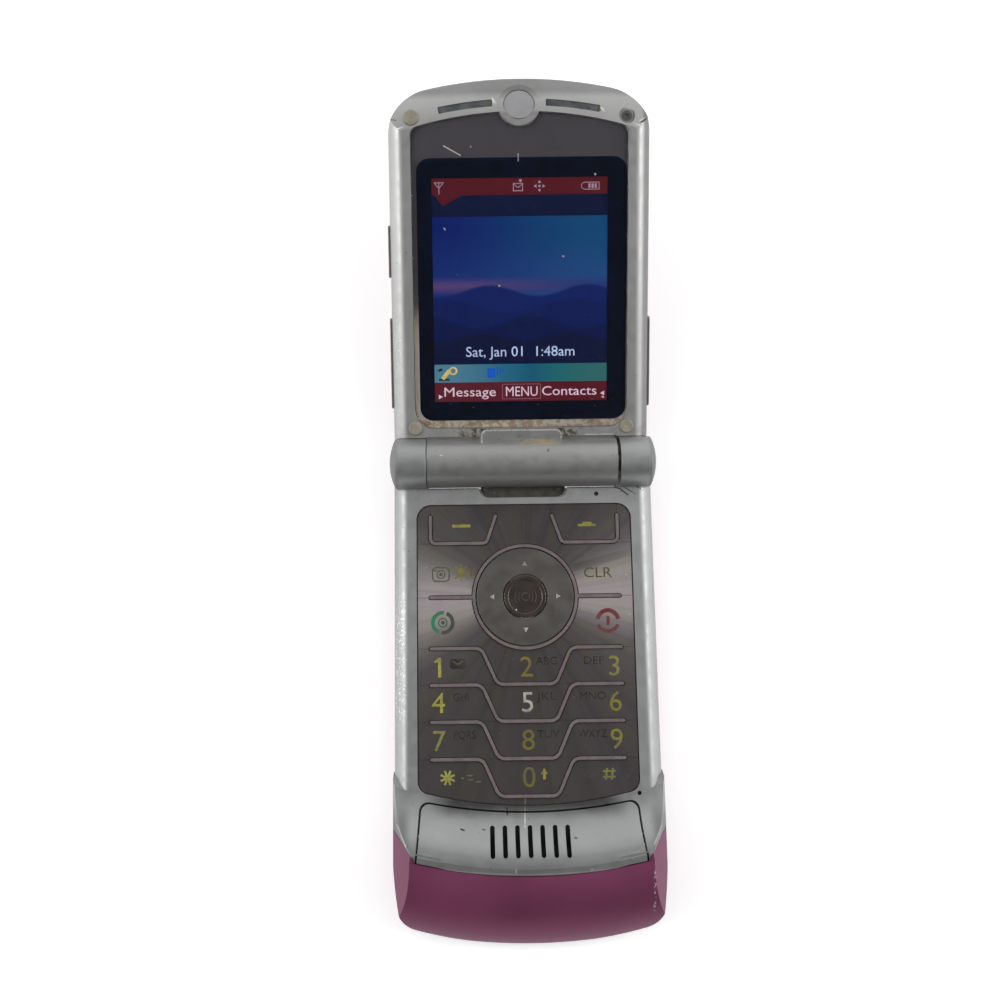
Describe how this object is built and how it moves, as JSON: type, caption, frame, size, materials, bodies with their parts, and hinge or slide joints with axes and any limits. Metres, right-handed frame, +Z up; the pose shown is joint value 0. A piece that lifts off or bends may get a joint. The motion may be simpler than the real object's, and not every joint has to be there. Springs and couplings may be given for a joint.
{
  "type": "clamshell mobile phone",
  "caption": "Slim metal clamshell phone lying open: folding lid with display, etched metal keypad, round navigation ring, raised chin and a lift-off battery door.",
  "frame": {"origin": "centre of the flat back that lies on the desk, midway between hinge-side and chin-side ends of the base", "axes": "+X to the user's right, +Y along the phone from the chin towards the hinge and lid, +Z up out of the keypad"},
  "size_m": [0.054, 0.1676, 0.0283],
  "materials": {
    "silver_paint": "satin metallic silver lacquer, worn at the rails",
    "pink_paint": "satin metallic magenta lacquer",
    "key_metal": "dark etched nickel sheet",
    "nav_metal": "dark satin nickel",
    "light_guide": "translucent electroluminescent film and ribs",
    "screen_glass": "clear hard-coated acrylic, scratched",
    "display_module": "colour liquid-crystal module",
    "circuit_board": "green solder resist",
    "dome_film": "polyester film",
    "black_plastic": "black moulding",
    "battery_wrap": "dark plain wrap",
    "emblem_chrome": "polished disc",
    "bumper_rubber": "beige rubber",
    "steel": "turned steel",
    "side_key_plastic": "silver-grey moulding"
  },
  "bodies": {
    "base": {"base_front_housing": "silver_paint", "base_rear_housing": "pink_paint", "chin_front_cover": "silver_paint", "antenna_cover": "pink_paint", "main_circuit_board": "circuit_board", "keypad_light_guide": "light_guide", "keypad_sheet": "key_metal", "dome_sheet": "dome_film", "microphone": "black_plastic", "loudspeaker": "black_plastic", "antenna_element": "black_plastic", "charging_socket": "steel", "base_screws": "steel", "hinge_cap_left": "silver_paint", "hinge_cap_right": "silver_paint", "hinge_cam_shaft": "steel", "hinge_stub_pin": "steel", "vibration_motor": "steel"},
    "lid": {"lid_bezel": "silver_paint", "lid_outer_cover": "pink_paint", "main_display_lens": "screen_glass", "main_display_panel": "display_module", "outer_display_lens": "screen_glass", "outer_display_panel": "display_module", "camera_module": "black_plastic", "earpiece_speaker": "black_plastic", "earpiece_emblem": "emblem_chrome", "lid_bumpers": "bumper_rubber", "lid_screws": "steel", "lid_circuit_board": "circuit_board", "hinge_barrel": "silver_paint", "hinge_cartridge": "steel"},
    "vibration_weight_body": {"vibration_weight": "steel"},
    "battery_door_body": {"battery_door": "pink_paint"},
    "door_latch_body": {"door_latch": "pink_paint"},
    "battery_pack_body": {"battery_pack": "battery_wrap"},
    "nav_actuator_body": {"nav_actuator": "steel"},
    "nav_ring_body": {"nav_ring": "nav_metal"},
    "select_key_body": {"select_key": "key_metal"},
    "soft_key_left_body": {"soft_key_left": "key_metal"},
    "soft_key_right_body": {"soft_key_right": "key_metal"},
    "camera_key_body": {"camera_key": "key_metal"},
    "clear_key_body": {"clear_key": "key_metal"},
    "send_key_body": {"send_key": "key_metal"},
    "end_key_body": {"end_key": "key_metal"},
    "key_1_body": {"key_1": "key_metal"},
    "key_2_body": {"key_2": "key_metal"},
    "key_3_body": {"key_3": "key_metal"},
    "key_4_body": {"key_4": "key_metal"},
    "key_5_body": {"key_5": "key_metal"},
    "key_6_body": {"key_6": "key_metal"},
    "key_7_body": {"key_7": "key_metal"},
    "key_8_body": {"key_8": "key_metal"},
    "key_9_body": {"key_9": "key_metal"},
    "key_star_body": {"key_star": "key_metal"},
    "key_0_body": {"key_0": "key_metal"},
    "key_hash_body": {"key_hash": "key_metal"},
    "smart_key_body": {"smart_key": "side_key_plastic"},
    "volume_rocker_body": {"volume_rocker": "side_key_plastic"},
    "voice_key_body": {"voice_key": "side_key_plastic"}
  },
  "joints": [
    {"name": "lid_fold", "type": "hinge", "parent": "base", "child": "lid", "pos_m": [0, 0.046, 0.0073], "axis": [1, 0, 0], "range_deg": [0, 162]},
    {"name": "select_key_press", "type": "slide", "parent": "base", "child": "select_key_body", "axis": [0, 0, -1], "range_m": [0, 0.0003], "stiffness_N_per_m": 50, "springref_m": -0.001},
    {"name": "soft_key_left_press", "type": "slide", "parent": "base", "child": "soft_key_left_body", "axis": [0, 0, -1], "range_m": [0, 0.0003], "stiffness_N_per_m": 50, "springref_m": -0.001},
    {"name": "soft_key_right_press", "type": "slide", "parent": "base", "child": "soft_key_right_body", "axis": [0, 0, -1], "range_m": [0, 0.0003], "stiffness_N_per_m": 50, "springref_m": -0.001},
    {"name": "camera_key_press", "type": "slide", "parent": "base", "child": "camera_key_body", "axis": [0, 0, -1], "range_m": [0, 0.0003], "stiffness_N_per_m": 50, "springref_m": -0.001},
    {"name": "clear_key_press", "type": "slide", "parent": "base", "child": "clear_key_body", "axis": [0, 0, -1], "range_m": [0, 0.0003], "stiffness_N_per_m": 50, "springref_m": -0.001},
    {"name": "send_key_press", "type": "slide", "parent": "base", "child": "send_key_body", "axis": [0, 0, -1], "range_m": [0, 0.0003], "stiffness_N_per_m": 50, "springref_m": -0.001},
    {"name": "end_key_press", "type": "slide", "parent": "base", "child": "end_key_body", "axis": [0, 0, -1], "range_m": [0, 0.0003], "stiffness_N_per_m": 50, "springref_m": -0.001},
    {"name": "key_1_press", "type": "slide", "parent": "base", "child": "key_1_body", "axis": [0, 0, -1], "range_m": [0, 0.0003], "stiffness_N_per_m": 50, "springref_m": -0.001},
    {"name": "key_2_press", "type": "slide", "parent": "base", "child": "key_2_body", "axis": [0, 0, -1], "range_m": [0, 0.0003], "stiffness_N_per_m": 50, "springref_m": -0.001},
    {"name": "key_3_press", "type": "slide", "parent": "base", "child": "key_3_body", "axis": [0, 0, -1], "range_m": [0, 0.0003], "stiffness_N_per_m": 50, "springref_m": -0.001},
    {"name": "key_4_press", "type": "slide", "parent": "base", "child": "key_4_body", "axis": [0, 0, -1], "range_m": [0, 0.0003], "stiffness_N_per_m": 50, "springref_m": -0.001},
    {"name": "key_5_press", "type": "slide", "parent": "base", "child": "key_5_body", "axis": [0, 0, -1], "range_m": [0, 0.0003], "stiffness_N_per_m": 50, "springref_m": -0.001},
    {"name": "key_6_press", "type": "slide", "parent": "base", "child": "key_6_body", "axis": [0, 0, -1], "range_m": [0, 0.0003], "stiffness_N_per_m": 50, "springref_m": -0.001},
    {"name": "key_7_press", "type": "slide", "parent": "base", "child": "key_7_body", "axis": [0, 0, -1], "range_m": [0, 0.0003], "stiffness_N_per_m": 50, "springref_m": -0.001},
    {"name": "key_8_press", "type": "slide", "parent": "base", "child": "key_8_body", "axis": [0, 0, -1], "range_m": [0, 0.0003], "stiffness_N_per_m": 50, "springref_m": -0.001},
    {"name": "key_9_press", "type": "slide", "parent": "base", "child": "key_9_body", "axis": [0, 0, -1], "range_m": [0, 0.0003], "stiffness_N_per_m": 50, "springref_m": -0.001},
    {"name": "key_star_press", "type": "slide", "parent": "base", "child": "key_star_body", "axis": [0, 0, -1], "range_m": [0, 0.0003], "stiffness_N_per_m": 50, "springref_m": -0.001},
    {"name": "key_0_press", "type": "slide", "parent": "base", "child": "key_0_body", "axis": [0, 0, -1], "range_m": [0, 0.0003], "stiffness_N_per_m": 50, "springref_m": -0.001},
    {"name": "key_hash_press", "type": "slide", "parent": "base", "child": "key_hash_body", "axis": [0, 0, -1], "range_m": [0, 0.0003], "stiffness_N_per_m": 50, "springref_m": -0.001},
    {"name": "smart_key_press", "type": "slide", "parent": "lid", "child": "smart_key_body", "axis": [1, 0, 0], "range_m": [0, 0.0003], "stiffness_N_per_m": 50, "springref_m": -0.001},
    {"name": "voice_key_press", "type": "slide", "parent": "lid", "child": "voice_key_body", "axis": [-1, 0, 0], "range_m": [0, 0.0003], "stiffness_N_per_m": 50, "springref_m": -0.001},
    {"name": "nav_up_down", "type": "hinge", "parent": "base", "child": "nav_actuator_body", "pos_m": [0, 0.01885, 0.0063], "axis": [1, 0, 0], "range_deg": [-1.5, 1.5], "stiffness_Nm_per_rad": 0.004},
    {"name": "nav_left_right", "type": "hinge", "parent": "nav_actuator_body", "child": "nav_ring_body", "pos_m": [0, 0.01885, 0.0063], "axis": [0, 1, 0], "range_deg": [-1.5, 1.5], "stiffness_Nm_per_rad": 0.004},
    {"name": "volume_rock", "type": "hinge", "parent": "lid", "child": "volume_rocker_body", "pos_m": [-0.0249, 0.06637, 0.01013], "axis": [0, -0.309, 0.9511], "range_deg": [-1.5, 1.5], "stiffness_Nm_per_rad": 0.01},
    {"name": "battery_door_lift", "type": "slide", "parent": "base", "child": "battery_door_body", "axis": [0, 0, -1], "range_m": [0, 0.02]},
    {"name": "battery_lift", "type": "slide", "parent": "base", "child": "battery_pack_body", "axis": [0, 0, -1], "range_m": [0, 0.01]},
    {"name": "door_latch_slide", "type": "slide", "parent": "base", "child": "door_latch_body", "axis": [0, 1, 0], "range_m": [0, 0.0011], "stiffness_N_per_m": 100, "springref_m": -0.001},
    {"name": "vibration_spin", "type": "hinge", "parent": "base", "child": "vibration_weight_body", "pos_m": [0.018, 0.032, 0.00312], "axis": [1, 0, 0], "continuous": true}
  ],
  "couplings": [
    {"joint": "battery_lift", "follows": "battery_door_lift", "ratio": 0.5}
  ]
}
